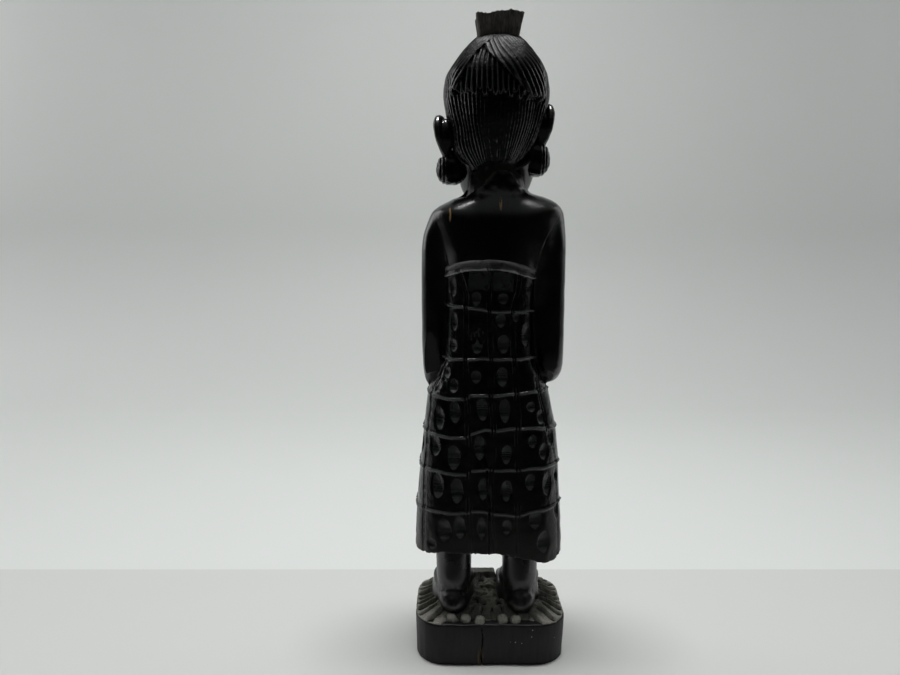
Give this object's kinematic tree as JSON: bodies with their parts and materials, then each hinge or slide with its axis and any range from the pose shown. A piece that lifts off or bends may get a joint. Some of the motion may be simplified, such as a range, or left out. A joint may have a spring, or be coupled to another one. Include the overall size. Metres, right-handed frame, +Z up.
{
  "type": "carved standing figure",
  "caption": "Standing woman carved from one dark hardwood log, with topknot, ear ornaments, gouged wrap dress and fluted plinth.",
  "frame": {"origin": "centre of the plinth's underside, on the surface it stands on", "axes": "+Z up, face towards -Y, +X towards the figure's left hand"},
  "size_m": [0.1575, 0.1114, 0.637],
  "materials": {
    "polished_wood": "polished near-black hardwood, glossy, with fine vertical grain",
    "tooled_wood": "semi-gloss black hardwood with gouge marks, brownish and duller near the hem",
    "sawn_wood": "matt brown-grey, roughly cut with the grain",
    "rough_wood": "matt, gouged, dusty grey over black",
    "satin_plinth": "satin charcoal with vertical streaks and one drying crack"
  },
  "bodies": {
    "root": {"plinth": "satin_plinth", "fluted_ground": "rough_wood", "left_foot": "polished_wood", "right_foot": "polished_wood", "left_leg": "polished_wood", "right_leg": "polished_wood", "skirt": "tooled_wood", "bodice": "tooled_wood", "dress_top_band": "tooled_wood", "torso": "polished_wood", "left_arm": "polished_wood", "right_arm": "polished_wood", "left_hand": "polished_wood", "right_hand": "polished_wood", "neck": "polished_wood", "head": "polished_wood", "hair": "tooled_wood", "topknot": "sawn_wood", "left_ear": "polished_wood", "right_ear": "polished_wood", "left_ear_ornament": "polished_wood", "right_ear_ornament": "polished_wood"}
  },
  "joints": []
}
